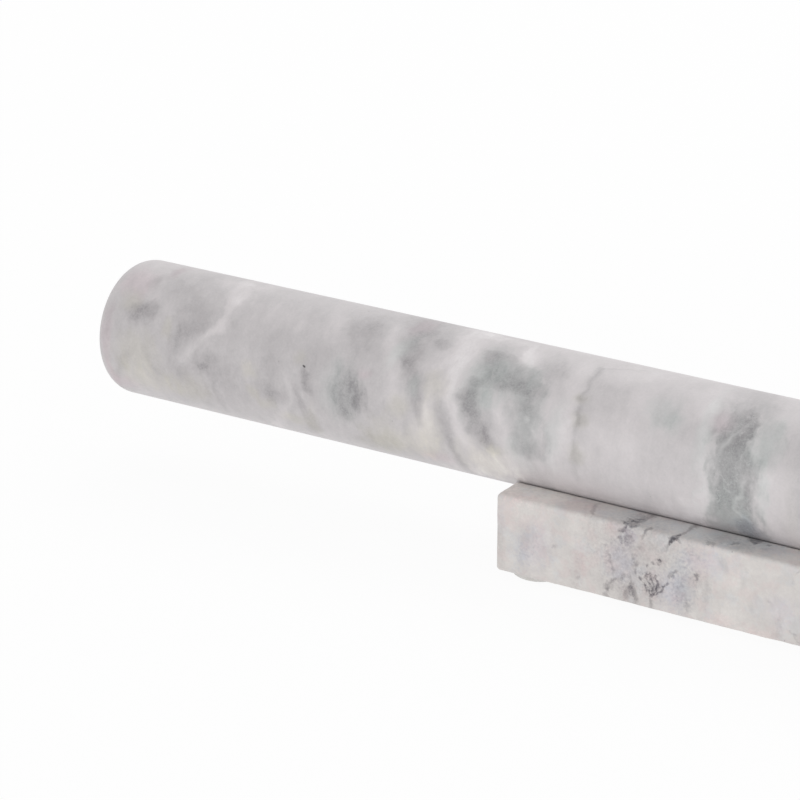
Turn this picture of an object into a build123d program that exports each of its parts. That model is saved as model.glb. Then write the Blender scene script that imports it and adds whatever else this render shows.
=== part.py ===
"""A solid marble rolling pin lying in its grooved marble stand, which stands on four self-adhesive pads.

The frame is in millimetres: X along the pin, Y across it, +Z up. The origin is on the table under the middle.
"""

import os

from build123d import *

# Rolling pin: one turned marble rod with no handles
pin_length = 457.0
pin_diameter = 44.5
pin_end_round = 7.4

# Stand: one sawn marble block with a shallow groove along its top
stand_length = 144.0
stand_width = 56.0
stand_height = 25.4
stand_corner_round = 1.6
stand_top_round = 1.4
stand_bottom_round = 1.0
groove_depth = 7.0
groove_clearance = 0.6
groove_edge_round = 0.6

# The pin at rest stays this far above the bottom of the groove
seat_gap = 0.3

# Pads: a soft moulded disc on a film of adhesive, one near each corner of the stand
pad_diameter = 18.0
pad_thickness = 2.0
pad_foot_bevel = 0.9
pad_end_margin = 1.0
pad_side_margin = 2.0
film_margin = 0.4
film_thickness = 0.2

# How far a cutting tool runs past the face that it cuts
overrun = 5.0

pin_radius = pin_diameter / 2
groove_radius = pin_radius + groove_clearance
stand_base_z = pad_thickness + film_thickness
stand_top_z = stand_base_z + stand_height
groove_floor_z = stand_top_z - groove_depth
groove_axis_z = groove_floor_z + groove_radius
pin_axis_z = groove_floor_z + seat_gap + pin_radius
pad_offset_x = stand_length / 2 - pad_end_margin - pad_diameter / 2
pad_offset_y = stand_width / 2 - pad_side_margin - pad_diameter / 2


def rolling_pin():
    """The rod, turned about its own axis: flat ends that run into the barrel through a full, soft round."""
    half = pin_length / 2
    outline = make_face(Polyline((-half, 0), (-half, pin_radius), (half, pin_radius), (half, 0), close=True))
    rims = outline.vertices().group_by(Axis.Y)[-1]
    return Pos(0, 0, pin_axis_z) * revolve(fillet(rims, pin_end_round), Axis.X)


def stand():
    """The block with its outer edges eased, the groove ground along it, and the groove's edges broken."""
    block = Pos(0, 0, stand_base_z + stand_height / 2) * Box(stand_length, stand_width, stand_height)
    block = fillet(block.edges().filter_by(Axis.Z), stand_corner_round)
    block = fillet(block.faces().sort_by(Axis.Z)[-1].edges(), stand_top_round)
    block = fillet(block.faces().sort_by(Axis.Z)[0].edges(), stand_bottom_round)
    wheel = Cylinder(groove_radius, stand_length + 2 * overrun, rotation=(0, 90, 0))
    block -= Pos(0, 0, groove_axis_z) * wheel
    groove = block.faces().filter_by(GeomType.CYLINDER).sort_by(SortBy.AREA)[-1]
    return fillet(groove.edges(), groove_edge_round)


def pad():
    """A moulded disc, flat above and below, with a bevel round the face that meets the table."""
    disc = Cylinder(pad_diameter / 2, pad_thickness, align=(Align.CENTER, Align.CENTER, Align.MIN))
    return chamfer(disc.edges().sort_by(Axis.Z)[0], pad_foot_bevel)


def adhesive_film():
    """The film of adhesive that holds a pad to the underside of the stand, a little smaller than the pad."""
    film_radius = pad_diameter / 2 - film_margin
    film = Cylinder(film_radius, film_thickness, align=(Align.CENTER, Align.CENTER, Align.MIN))
    return Pos(0, 0, pad_thickness) * film


def write(shape, name):
    export_step(shape, os.path.join("parts", name + ".step"))


def main():
    os.makedirs("parts", exist_ok=True)
    write(rolling_pin(), "rolling_pin")
    write(stand(), "stand")
    for end, x in (("left", -pad_offset_x), ("right", pad_offset_x)):
        for side, y in (("front", -pad_offset_y), ("rear", pad_offset_y)):
            corner = Pos(x, y, 0)
            write(corner * pad(), f"pad_{side}_{end}")
            write(corner * adhesive_film(), f"adhesive_{side}_{end}")


main()
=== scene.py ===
"""A marble rolling pin lying in its marble stand, on a white table in soft studio light.

Lengths are in metres in the row frame, and a name or a table headed mm is in millimetres.
"""
import math

import bmesh
import bpy
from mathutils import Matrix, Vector


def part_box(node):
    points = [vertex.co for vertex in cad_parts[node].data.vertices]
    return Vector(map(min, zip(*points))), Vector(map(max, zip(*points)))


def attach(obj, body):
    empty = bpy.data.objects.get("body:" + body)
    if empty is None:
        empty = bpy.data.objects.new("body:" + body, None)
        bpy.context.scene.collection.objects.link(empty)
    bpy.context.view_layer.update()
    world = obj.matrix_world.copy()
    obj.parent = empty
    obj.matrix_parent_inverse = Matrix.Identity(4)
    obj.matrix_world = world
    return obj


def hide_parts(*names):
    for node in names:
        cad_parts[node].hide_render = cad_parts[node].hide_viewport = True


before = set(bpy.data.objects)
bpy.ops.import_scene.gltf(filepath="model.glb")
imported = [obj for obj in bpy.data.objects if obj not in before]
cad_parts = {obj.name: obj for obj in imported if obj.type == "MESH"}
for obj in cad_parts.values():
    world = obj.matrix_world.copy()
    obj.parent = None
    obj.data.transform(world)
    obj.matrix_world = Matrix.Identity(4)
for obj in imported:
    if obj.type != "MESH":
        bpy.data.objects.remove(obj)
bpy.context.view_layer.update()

mm = 0.001


# Stand. One block of warm white marble, sawn to size, with a groove ground along its top for the pin.
# Its faces are honed to a satin and its edges are eased by hand, so the rounds wander a little.
# It stands on pads that are stuck beneath it, and the pin lies in its groove by its own weight.

stand_low, stand_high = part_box("stand")
stand_middle = (stand_low + stand_high) / 2
stand_size = stand_high - stand_low
pin_low, pin_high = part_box("rolling_pin")
pin_middle = (pin_low + pin_high) / 2
pin_radius = (pin_high.z - pin_low.z) / 2
pin_length = pin_high.x - pin_low.x

stand_corner_round = 1.6 * mm
stand_top_round = 1.4 * mm
stand_bottom_round = 1.0 * mm
groove_clearance = 0.6 * mm
seat_gap = 0.3 * mm
groove_radius = pin_radius + groove_clearance
groove_axis_z = pin_middle.z + groove_clearance - seat_gap
overrun = 5 * mm


def begin(name, size=(1, 1, 1)):
    """Names the new primitive, puts its size and place into its mesh and opens it for editing."""
    piece = bpy.context.object
    piece.name = name
    piece.data.name = name
    piece.scale = size
    bpy.ops.object.transform_apply(location=True, rotation=True, scale=True)
    bpy.ops.object.mode_set(mode="EDIT")
    return piece


def pick(piece, kind, test):
    """Selects the vertices, edges or faces that pass the test, and nothing else, in edit mode."""
    bpy.ops.mesh.select_mode(type=kind)
    bpy.ops.mesh.select_all(action="DESELECT")
    shape = bmesh.from_edit_mesh(piece.data)
    found = {"VERT": shape.verts, "EDGE": shape.edges, "FACE": shape.faces}[kind]
    for part in found:
        part.select_set(test(part))
    shape.select_flush_mode()
    bmesh.update_edit_mesh(piece.data)


def ends(edge):
    """The two end points of an edge."""
    return [vertex.co for vertex in edge.verts]


def near(a, b):
    return abs(a - b) < 0.02 * mm


def add_modifier(piece, kind, **settings):
    """Adds a modifier with these settings and applies it."""
    made = piece.modifiers.new(kind, kind)
    for name, value in settings.items():
        setattr(made, name, value)
    bpy.ops.object.modifier_apply(modifier=made.name)


def roughen(piece, name, bump_size, depth, group=""):
    """Moves the surface in and out by up to half the depth, in bumps of that size."""
    bumps = bpy.data.textures.new(name, "CLOUDS")
    bumps.noise_scale = bump_size
    bumps.noise_depth = 2
    add_modifier(piece, "DISPLACE", texture=bumps, strength=depth, mid_level=0.5,
                 texture_coords="LOCAL", vertex_group=group)


bpy.ops.object.select_all(action="DESELECT")
bpy.ops.mesh.primitive_cube_add(size=1, location=stand_middle)
stand = begin("marble_stand", stand_size)
pick(stand, "EDGE", lambda edge: near((ends(edge)[0] - ends(edge)[1]).xy.length, 0))
bpy.ops.mesh.bevel(offset=stand_corner_round, segments=6, affect="EDGES")
pick(stand, "EDGE", lambda edge: all(near(end.z, stand_high.z) for end in ends(edge)))
bpy.ops.mesh.bevel(offset=stand_top_round, segments=5, affect="EDGES")
pick(stand, "EDGE", lambda edge: all(near(end.z, stand_low.z) for end in ends(edge)))
bpy.ops.mesh.bevel(offset=stand_bottom_round, segments=4, affect="EDGES")
bpy.ops.object.mode_set(mode="OBJECT")

bpy.ops.mesh.primitive_cylinder_add(
    vertices=256, radius=groove_radius, depth=stand_size.x + 2 * overrun,
    location=(stand_middle.x, stand_middle.y, groove_axis_z), rotation=(0, math.pi / 2, 0))
groove_wheel = bpy.context.object
bpy.ops.object.select_all(action="DESELECT")
bpy.context.view_layer.objects.active = stand
stand.select_set(True)
add_modifier(stand, "BOOLEAN", object=groove_wheel, operation="DIFFERENCE", solver="EXACT")
bpy.data.objects.remove(groove_wheel)

# The cut block gets an even mesh, fine enough to carry the broken edges, and a light rub all over.
# The lip of the groove is rubbed least, and the pin lies close against it.
stand.data.remesh_voxel_size = 0.56 * mm
bpy.ops.object.voxel_remesh()
outer = stand.vertex_groups.new(name="outer")
groove_half_width = math.sqrt(groove_radius ** 2 - (groove_axis_z - stand_high.z) ** 2)
lip_width = 2 * mm
lip_depth = 3 * mm
for vertex in stand.data.vertices:
    beside = abs(vertex.co.y - stand_middle.y) > groove_half_width + lip_width
    if beside or vertex.co.z < stand_high.z - lip_depth:
        outer.add([vertex.index], 1.0, "REPLACE")
add_modifier(stand, "SMOOTH", factor=0.5, iterations=3, vertex_group="outer")
add_modifier(stand, "SMOOTH", factor=0.5, iterations=1)
arris = stand.vertex_groups.new(name="arris")
arris_reach = 2.2 * mm
for vertex in stand.data.vertices:
    depths = sorted((min(vertex.co[axis] - stand_low[axis], stand_high[axis] - vertex.co[axis])
                     for axis in range(3)))
    share = max(0.0, 1 - depths[1] / arris_reach)
    if share > 0:
        arris.add([vertex.index], share, "REPLACE")
roughen(stand, "hand_eased_edges", bump_size=7 * mm, depth=0.5 * mm, group="arris")
roughen(stand, "honed_faces", bump_size=22 * mm, depth=0.06 * mm)
bpy.ops.object.shade_smooth()


# The stand's marble. It is warm and white, with soft cool clouds and fine dark veins that break and knot.
# The ways of making stone that come first here also serve the pin's marble.

def add_node(tree, kind, *values, **settings):
    """Adds a node and fills its inputs in order. A socket is linked to its input, and None is left out."""
    made = tree.nodes.new(kind)
    for name, value in settings.items():
        setattr(made, name, value)
    for socket, value in zip(made.inputs, values):
        if isinstance(value, bpy.types.NodeSocket):
            tree.links.new(value, socket)
        elif value is not None:
            socket.default_value = value
    return made


def calc(tree, operation, *values):
    return add_node(tree, "ShaderNodeMath", *values, operation=operation).outputs[0]


def calc_vector(tree, operation, *values):
    return add_node(tree, "ShaderNodeVectorMath", *values, operation=operation).outputs[0]


def scaled(tree, vector, share):
    """A vector made longer or shorter by a plain number or a socket."""
    return add_node(tree, "ShaderNodeVectorMath", vector, None, None, share, operation="SCALE").outputs[0]


def rise(tree, value, low, high, to_low=0.0, to_high=1.0):
    """Goes smoothly from to_low to to_high as the value goes from low to high."""
    return add_node(tree, "ShaderNodeMapRange", value, low, high, to_low, to_high,
                    interpolation_type="SMOOTHSTEP").outputs[0]


def noise(tree, place, size, detail=3.0, roughness=0.5, distortion=0.0):
    """A cloudy texture whose clouds are about that size, in the units of place."""
    made = tree.nodes.new("ShaderNodeTexNoise")
    tree.links.new(place, made.inputs["Vector"])
    made.inputs["Scale"].default_value = 1 / size
    made.inputs["Detail"].default_value = detail
    made.inputs["Roughness"].default_value = roughness
    made.inputs["Distortion"].default_value = distortion
    return made


def cells(tree, place, size, feature):
    """A cell texture whose cells are about that size, in the units of place."""
    made = tree.nodes.new("ShaderNodeTexVoronoi")
    made.feature = feature
    tree.links.new(place, made.inputs["Vector"])
    made.inputs["Scale"].default_value = 1 / size
    return made.outputs["Distance"]


def open_group(name, inputs, outputs):
    """A new node group with its named inputs and outputs."""
    tree = bpy.data.node_groups.new(name, "ShaderNodeTree")
    for label, kind in inputs:
        tree.interface.new_socket(label, in_out="INPUT", socket_type=kind)
    for label, kind in outputs:
        tree.interface.new_socket(label, in_out="OUTPUT", socket_type=kind)
    return tree, tree.nodes.new("NodeGroupInput").outputs, tree.nodes.new("NodeGroupOutput").inputs


def place_group(tree, group, *values):
    return add_node(tree, "ShaderNodeGroup", *values, node_tree=group).outputs


def make_drift_group():
    """Bends a place in mm as the stone was bent: slowly by Wander, then by Curl, and finely by Feather."""
    tree, given, result = open_group(
        "stone_drift",
        (("Place", "NodeSocketVector"), ("Wander", "NodeSocketFloat"), ("Curl", "NodeSocketFloat"),
         ("Feather", "NodeSocketFloat")),
        (("Place", "NodeSocketVector"),))
    moved = given["Place"]
    for label, size, detail in (("Wander", 24, 1.0), ("Curl", 7.5, 2.0), ("Feather", 2.3, 4.0)):
        clouds = noise(tree, given["Place"], size, detail, 0.6).outputs["Color"]
        push = calc_vector(tree, "SUBTRACT", clouds, (0.5, 0.5, 0.5))
        moved = calc_vector(tree, "ADD", moved, scaled(tree, push, given[label]))
    tree.links.new(moved, result["Place"])
    return tree


def make_grain_group():
    """The stone's own grain: soft clouds, crystals, and a few pinholes where a crystal has dropped out."""
    tree, given, result = open_group(
        "stone_grain",
        (("Place", "NodeSocketVector"),),
        (("Cloud", "NodeSocketFloat"), ("Mottle", "NodeSocketFloat"), ("Crystal", "NodeSocketFloat"),
         ("Pinhole", "NodeSocketFloat")))
    place = given["Place"]
    tree.links.new(noise(tree, place, 13, 3, 0.55, 0.6).outputs["Fac"], result["Cloud"])
    tree.links.new(noise(tree, place, 3.2, 4, 0.6, 0.4).outputs["Fac"], result["Mottle"])
    tree.links.new(noise(tree, place, 0.75, 3, 0.6).outputs["Fac"], result["Crystal"])
    hole = rise(tree, cells(tree, place, 7.5, "F1"), 0.022, 0.045, 1, 0)
    some = rise(tree, noise(tree, place, 24, 0).outputs["Fac"], 0.5, 0.58)
    tree.links.new(calc(tree, "MULTIPLY", hole, some), result["Pinhole"])
    return tree


def make_stroke_group():
    """A streak of colour: half strong at its half width, with an edge from crisp (0) to very soft (1)."""
    tree, given, result = open_group(
        "stone_stroke",
        (("Across", "NodeSocketFloat"), ("Centre", "NodeSocketFloat"), ("Half width", "NodeSocketFloat"),
         ("Softness", "NodeSocketFloat"), ("Fray", "NodeSocketFloat")),
        (("Mask", "NodeSocketFloat"),))
    offset = calc(tree, "ABSOLUTE", calc(tree, "SUBTRACT", given["Across"], given["Centre"]))
    share = calc(tree, "DIVIDE", offset, calc(tree, "MAXIMUM", given["Half width"], 0.01))
    share = calc(tree, "ADD", share, given["Fray"])
    low = calc(tree, "SUBTRACT", 1.0, given["Softness"])
    high = calc(tree, "ADD", 1.0, given["Softness"])
    tree.links.new(rise(tree, share, low, high, 1, 0), result["Mask"])
    return tree


def make_patch_group():
    """A patch of colour in a turned ellipse: 1 in the middle, half strong at the given half sizes."""
    tree, given, result = open_group(
        "stone_patch",
        (("Place", "NodeSocketVector"), ("Centre", "NodeSocketVector"), ("Turn", "NodeSocketVector"),
         ("Size", "NodeSocketVector"), ("Fray", "NodeSocketFloat")),
        (("Mask", "NodeSocketFloat"),))
    moved = add_node(tree, "ShaderNodeMapping", given["Place"], given["Centre"], given["Turn"],
                     given["Size"], vector_type="TEXTURE").outputs[0]
    length = add_node(tree, "ShaderNodeVectorMath", moved, operation="LENGTH").outputs["Value"]
    length = calc(tree, "ADD", length, given["Fray"])
    tree.links.new(rise(tree, length, 0.2, 1.8, 1, 0), result["Mask"])
    return tree


stone_drift = make_drift_group()
stone_grain = make_grain_group()
stone_stroke = make_stroke_group()
stone_patch = make_patch_group()


def paint(red, green, blue):
    """A colour as a paint chart gives it, in steps out of 255, made ready for the nodes."""
    steps = (red / 255, green / 255, blue / 255)
    return tuple(((step + 0.055) / 1.055) ** 2.4 for step in steps) + (1.0,)


def curve_over(tree, share, points):
    """A smooth curve through points of (share, value), all from 0 to 1."""
    made = add_node(tree, "ShaderNodeFloatCurve", None, share)
    line = made.mapping.curves[0]
    line.points[0].location = (0, points[0][1])
    line.points[1].location = (1, points[-1][1])
    for at, value in points:
        line.points.new(at, value)
    for point in line.points:
        point.handle_type = "AUTO_CLAMPED"
    made.mapping.update()
    return made.outputs[0]


# A renderer holds only so many values of one material at a time. So the marks go on in batches, and each
# batch reads its place through the tone of the batch before it, whose share there is too small to see.
batch = 10
hold = 1e-9


def add_strokes(tree, tone, across, share_of, run, fray, strokes, low_mm, high_mm):
    """Adds streaks to the tone. Each is (name, steps of tone, softness, points along its middle)."""
    span = high_mm - low_mm
    widest = 14.0
    for count, (name, steps, softness, points) in enumerate(strokes):
        if count % batch == 0:
            run = calc(tree, "MULTIPLY_ADD", tone, hold, run)
        runs = [share_of(point[0]) for point in points]
        tip = (runs[-1] - runs[0]) / len(runs) * 0.8
        centres = [(at, (point[1] - low_mm) / span) for at, point in zip(runs, points)]
        widths = [(at, point[2] / widest) for at, point in zip(runs, points)]
        widths = [(runs[0] - tip, 0.0)] + widths + [(runs[-1] + tip, 0.0)]
        centre = calc(tree, "MULTIPLY_ADD", curve_over(tree, run, sorted(centres)), span, low_mm)
        width = calc(tree, "MULTIPLY", curve_over(tree, run, sorted(widths)), widest)
        mask = place_group(tree, stone_stroke, across, centre, width, softness, fray)["Mask"]
        starts = rise(tree, run, runs[0] - tip, runs[0] + tip)
        stops = rise(tree, run, runs[-1] + tip, runs[-1] - tip)
        mask = calc(tree, "MULTIPLY", mask, calc(tree, "MULTIPLY", starts, stops))
        tone = calc(tree, "MULTIPLY_ADD", mask, steps, tone)
    return tone


def patch_mask(tree, place, fray, across, up, size, turn=0):
    """Where a patch lies: its centre in mm, its half sizes in mm and its turn in degrees."""
    return place_group(tree, stone_patch, place, (across, up, 0), (0, 0, math.radians(turn)),
                       (size[0], size[1], 1), fray)["Mask"]


def add_patches(tree, tone, across, up, fray, up_of, patches):
    """Adds patches to the tone: (steps of tone, across mm, run, half sizes in mm, any turn in degrees)."""
    for count, (steps, along, run, size, *turn) in enumerate(patches):
        if count % batch == 0:
            up = calc(tree, "MULTIPLY_ADD", tone, hold, up)
            place = add_node(tree, "ShaderNodeCombineXYZ", across, up).outputs[0]
        mask = patch_mask(tree, place, fray, along, up_of(run), size, *turn)
        tone = calc(tree, "MULTIPLY_ADD", mask, steps, tone)
    return tone


def add_tinges(tree, colour, tone, across, up, fray, up_of, tinges):
    """Tints the colour in patches: (across mm, run, half sizes in mm, colour, any turn in degrees)."""
    last = tone
    for count, (along, run, size, tinge, *turn) in enumerate(tinges):
        if count % batch == 0:
            up = calc(tree, "MULTIPLY_ADD", last, hold, up)
            place = add_node(tree, "ShaderNodeCombineXYZ", across, up).outputs[0]
        last = patch_mask(tree, place, fray, along, up_of(run), size, *turn)
        colour = tint(tree, colour, last, tinge)
    return colour


def stone_colour(tree, tone, chart):
    """The stone's colour for a tone of 0 to 255, from a chart of (tone, colour)."""
    made = add_node(tree, "ShaderNodeValToRGB", calc(tree, "DIVIDE", tone, 255.0))
    ramp = made.color_ramp
    ramp.elements[0].position = chart[0][0] / 255
    ramp.elements[0].color = chart[0][1]
    ramp.elements[1].position = chart[-1][0] / 255
    ramp.elements[1].color = chart[-1][1]
    for at, colour in chart[1:-1]:
        ramp.elements.new(at / 255).color = colour
    return made.outputs[0]


def mix_colours(tree, mask, first, second, blend="MIX"):
    """The first colour where the mask is 0. Where it is 1, the second or, with MULTIPLY, their product."""
    number_and_vector_inputs = [None] * 5
    return add_node(tree, "ShaderNodeMix", mask, *number_and_vector_inputs, first, second,
                    data_type="RGBA", blend_type=blend).outputs[2]


def tint(tree, colour, mask, tinge):
    return mix_colours(tree, mask, colour, tinge, "MULTIPLY")


def spread(tree, value, steps):
    """Steps of tone either way for a noise that wavers about 0.5."""
    return calc(tree, "MULTIPLY", calc(tree, "SUBTRACT", value, 0.5), 2.0 * steps)


def total(tree, *values):
    result = values[0]
    for value in values[1:]:
        result = calc(tree, "ADD", result, value)
    return result


def blank_material(name):
    """A material with a plain Principled shader, and the object's place in mm."""
    made = bpy.data.materials.new(name)
    made.use_nodes = True
    tree = made.node_tree
    shader = tree.nodes["Principled BSDF"]
    place = scaled(tree, add_node(tree, "ShaderNodeTexCoord").outputs["Object"], 1000.0)
    return made, tree, shader, place


def finish_stone(tree, shader, colour, grain, depth):
    """Joins colour and grain to the shader: a satin surface with a faint tooth and its pinholes."""
    tree.links.new(colour, shader.inputs["Base Color"])
    rough = calc(tree, "MULTIPLY_ADD", grain["Mottle"], 0.16, 0.36)
    rough = calc(tree, "MULTIPLY_ADD", grain["Pinhole"], 0.3, rough)
    tree.links.new(rough, shader.inputs["Roughness"])
    height = calc(tree, "MULTIPLY", grain["Mottle"], 0.5)
    height = calc(tree, "MULTIPLY_ADD", grain["Crystal"], 0.35, height)
    height = calc(tree, "SUBTRACT", height, calc(tree, "MULTIPLY", grain["Pinhole"], 4.0))
    bump = add_node(tree, "ShaderNodeBump")
    bump.inputs["Strength"].default_value = 0.5
    bump.inputs["Distance"].default_value = depth
    tree.links.new(height, bump.inputs["Height"])
    tree.links.new(bump.outputs["Normal"], shader.inputs["Normal"])
    shader.inputs["IOR"].default_value = 1.49


# The stand's front and top are one sheet here: its second measure runs up the front and on over the top.
# Each streak lists (height up the sheet, place along the stand, half width), all in mm.
stand_strokes = (
    ("left hair", -22, 1.0, ((18, -32.3, 0.3), (16.5, -31.9, 0.6), (15, -31.5, 0.7), (13, -31.2, 0.5),
         (11, -30.8, 0.4))),
    ("low arm", -36, 1.0, ((4.6, -33.2, 0.6), (6, -32.8, 1.0), (7.2, -32.2, 1.1), (8.4, -31.4, 1.0),
         (9.7, -30.5, 0.6))),
    ("low wedge, stem", -18, 1.0, ((11.5, -24.9, 0.3), (10, -24.7, 0.5), (8.6, -24.5, 0.8),
         (7, -24.3, 1.0))),
    ("low wedge, left leg", -26, 1.0, ((4.2, -27.4, 0.6), (5, -26.7, 0.9), (5.8, -26, 0.8),
         (7, -25, 0.7), (8.6, -24.4, 0.4))),
    ("low wedge, right leg", -26, 1.0, ((4.2, -22.9, 0.7), (5.2, -23.4, 0.9), (6.2, -23.9, 0.9),
         (7.2, -24.3, 0.6))),
    ("middle hair", -22, 1.0, ((18, -23.8, 0.4), (16.5, -23, 0.7), (15, -22.9, 0.6), (13.4, -23.1, 0.5),
         (11.6, -22.9, 0.3))),
    ("upper hair", -12, 1.0, ((23.5, -24.4, 0.4), (21.5, -24.6, 0.5), (19, -24.9, 0.4))),
    ("edge knot, left", -40, 0.8, ((24.2, -28.9, 0.6), (25.4, -28.5, 0.9), (26.6, -27.8, 0.7),
         (27.5, -27.5, 0.5))),
    ("edge knot, dark spur", -50, 0.9, ((27.4, -27.6, 0.5), (28.4, -27.9, 0.7), (29.4, -28.4, 0.7),
         (30.2, -28.9, 0.4))),
    ("edge knot, dark wedge", -46, 0.9, ((27.6, -25.6, 0.9), (28.6, -25.7, 1.1), (29.8, -26.1, 1.3),
         (31, -26.4, 1.5), (32, -26.8, 1.5), (32.8, -27.6, 1.0))),
    ("knot's tail", -44, 1.0, ((31.5, -25.5, 1.1), (33, -25.1, 1.2), (35, -24.7, 1.1), (37, -24, 1.2),
         (38.6, -23.5, 1.2), (42, -22.6, 0.8))),
    ("short hair at the edge", -36, 0.9, ((24.6, -21.3, 0.5), (25.6, -21, 0.7), (26.6, -20.8, 0.5),
         (27.8, -20.5, 0.5), (29, -20.1, 0.6), (31, -19.7, 0.5))),
    ("edge slash", -80, 0.9, ((24.7, -12.2, 0.4), (25.7, -11.9, 0.7), (26.6, -11.6, 1.1),
         (27.4, -11.3, 1.3), (28.2, -11, 1.1), (29.4, -10.8, 0.8), (30.6, -10.3, 0.5))),
    ("edge slash, spur", -44, 0.9, ((26.6, -9.4, 0.6), (27.2, -9.7, 0.9), (27.8, -10.2, 0.8))),
    ("slash's rise", -46, 0.9, ((30, -10.3, 0.6), (32, -10, 0.6), (34, -9.7, 0.5), (36, -9.4, 0.6),
         (37.6, -9.1, 0.9), (39, -9, 0.8), (42, -8.6, 0.6))),
    ("slash's tail", -18, 1.0, ((21, -14.1, 0.4), (22.2, -13.4, 0.7), (23.4, -12.9, 0.4),
         (24.4, -12.5, 0.4))),
    ("node, main thread", -74, 0.8, ((13.9, -16.3, 0.3), (13.1, -16.8, 0.4), (12.2, -16.2, 0.35),
         (11.2, -15.9, 0.4), (10.2, -16.1, 0.5), (9, -16.6, 0.5), (8, -17.3, 0.6), (6.8, -17.8, 0.6))),
    ("node, left thread", -50, 0.8, ((10.4, -20.4, 0.3), (9.6, -19.5, 0.45), (8.8, -18.9, 0.5),
         (7.6, -18.2, 0.45))),
    ("node, loop", -46, 0.8, ((14, -18.4, 0.3), (13, -19, 0.4), (12, -19.4, 0.4), (11, -18.6, 0.35),
         (10, -18.3, 0.4), (9, -17.7, 0.45))),
    ("node, inner thread", -42, 0.8, ((13.4, -17.7, 0.3), (12.4, -18, 0.35), (11.4, -17.4, 0.4),
         (10.4, -17.2, 0.4), (9.2, -17.6, 0.4))),
    ("node, right thread", -48, 0.8, ((12.6, -12.9, 0.5), (11.8, -13.7, 0.5), (10.6, -14.2, 0.45),
         (9.6, -14.4, 0.5), (8.8, -15, 0.5), (8.2, -15.9, 0.5), (7.4, -16.9, 0.5))),
    ("node's far arm", -34, 1.0, ((14.4, -11.9, 0.4), (15.4, -11.2, 0.6), (16.4, -10.7, 0.6),
         (17.6, -9.9, 0.4))),
    ("node's foot", -28, 0.9, ((2, -18, 0.8), (3.4, -17.9, 0.7), (4.6, -17.8, 0.6), (5.8, -18, 0.6))),
    ("ledge hair", -24, 1.0, ((29, -39.6, 0.3), (31, -40.2, 0.5), (33, -40.7, 0.6), (35.5, -41.5, 0.7),
         (38, -42.2, 0.9))),
    ("ledge hair's branch", -6, 1.0, ((31, -42.4, 0.4), (33.5, -43.4, 0.6), (36, -44.6, 0.8),
         (38.5, -46, 1.0))),
    ("right cloud's hair", -9, 1.0, ((4, -5.6, 0.9), (7, -6.2, 0.7), (11, -7, 0.6), (15, -7.6, 0.5))),
    ("dark root under the pin", -52, 1.0, ((36.8, 11.3, 1.3), (38, 11.1, 1.7), (39.4, 10.4, 2.0),
         (42, 9, 1.8))),
    ("bottom edge shade", -8, 1.0, ((2, -24, 3), (4, -25, 4), (6.5, -27, 5))),
)
# Each patch is (steps of tone, place along, height up the sheet, half sizes), in mm, and any turn in degrees.
stand_patches = (
    (-12, -61, 15, (2.8, 5), -20),
    (-8, -62, 7, (2.4, 4.4)),
    (-7, -55, 11, (3, 3)),
    (-9, -70.2, 12, (1.4, 6)),
    (-14, -51.2, 14.7, (0.7, 0.6), 30),
    (-6, -51.6, 18.5, (1, 1.6)),
    (6, -63, 24, (4, 2.4)),
    (-7, -43.6, 8, (1.6, 4.4), -12),
    (-11, -43.1, 6, (0.6, 0.5)),
    (-9, -28, 14, (4.6, 6.5)),
    (-38, -33.4, 3.3, (0.9, 0.7), 20),
    (-30, -28.9, 9.5, (1, 0.8), 30),
    (-20, -27.2, 10.9, (1.3, 0.9), -20),
    (-13, -23.2, 5.8, (1, 0.9)),
    (-7, -25.2, 6.4, (1.8, 1.4)),
    (-14, -23, 3.6, (1, 0.6)),
    (-34, -28.5, 21.8, (1.1, 0.9), 20),
    (-20, -26.2, 23.6, (1.3, 2.6)),
    (-18, -27, 35, (2, 3.4)),
    (-15, -21.3, 21, (1, 0.8)),
    (-95, -15.3, 18.6, (0.34, 0.32)),
    (-9, -15, 18.6, (1, 0.9)),
    (-34, -17.3, 17.1, (0.6, 0.42), 25),
    (-26, -19.1, 16, (0.4, 0.5), -30),
    (-20, -15.8, 17.8, (0.4, 0.3)),
    (-52, -21.3, 11.3, (0.8, 0.4), -45),
    (-30, -12.9, 12.4, (0.6, 0.4)),
    (-9, -17.4, 9.8, (3.6, 3.8)),
    (-40, -2.6, 17.1, (0.7, 0.95), -15),
    (-5, -3, 20, (4, 7)),
    (5, 10, 6, (6, 4)),
    (-10, -23, 25, (13, 11)),
    # Painted light: this paler strip low on the front, about 3 mm up, lifts the shade that falls along the
    # foot of the stand by the table.
    (5, -6, 3, (22, 2)),
    (-7, -2.4, 15.4, (1.6, 2.4)),
    (-8, -2.8, 23.8, (1, 1.2)),
    (-8, -6, 23, (0.9, 1.6)),
    (-8, -6.5, 12, (3.6, 7)),
    (-11, -5.8, 6, (0.9, 1.4)),
    (-10, -9, 10, (1.2, 3.4)),
    (-10, 0.8, 13, (1.2, 5)),
    (-9, 6.4, 22.4, (1.2, 2.4), 20),
    (-12, 21, 14.3, (0.7, 0.9), 30),
    (-8, 15.8, 11, (0.8, 1.3)),
    (-9, 24.8, 8.8, (1, 1.2)),
    (-9, 24, 5, (1.4, 1.2)),
    (-5, 19, 8, (4, 3)),
    (5, 12, 17, (4, 5)),
    (-8, -48, 33, (6, 4)),
    (-36, 0.7, 29.2, (1.4, 0.9)),
    (-16, 2, 34, (3.4, 4)),
    (-30, 7, 33.4, (0.9, 0.9)),
    (-16, 9, 32, (3.4, 3.4), -20),
    (-46, 11.4, 37.2, (1.1, 0.8)),
    (-60, 15.9, 37.4, (0.9, 0.7)),
    (-10, 16.5, 33.8, (1.2, 1)),
    (-8, -19, 30.5, (2, 2.6)),
    (-8, -22, 12, (15, 13)),
    # Painted light: the left end of the ledge, in front of the pin, is made much lighter, as if more light
    # reached it there from the left.
    (17, -61, 34.5, (11, 5.4)),
    (-9, 19, 33.5, (6, 5)),
)
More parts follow.
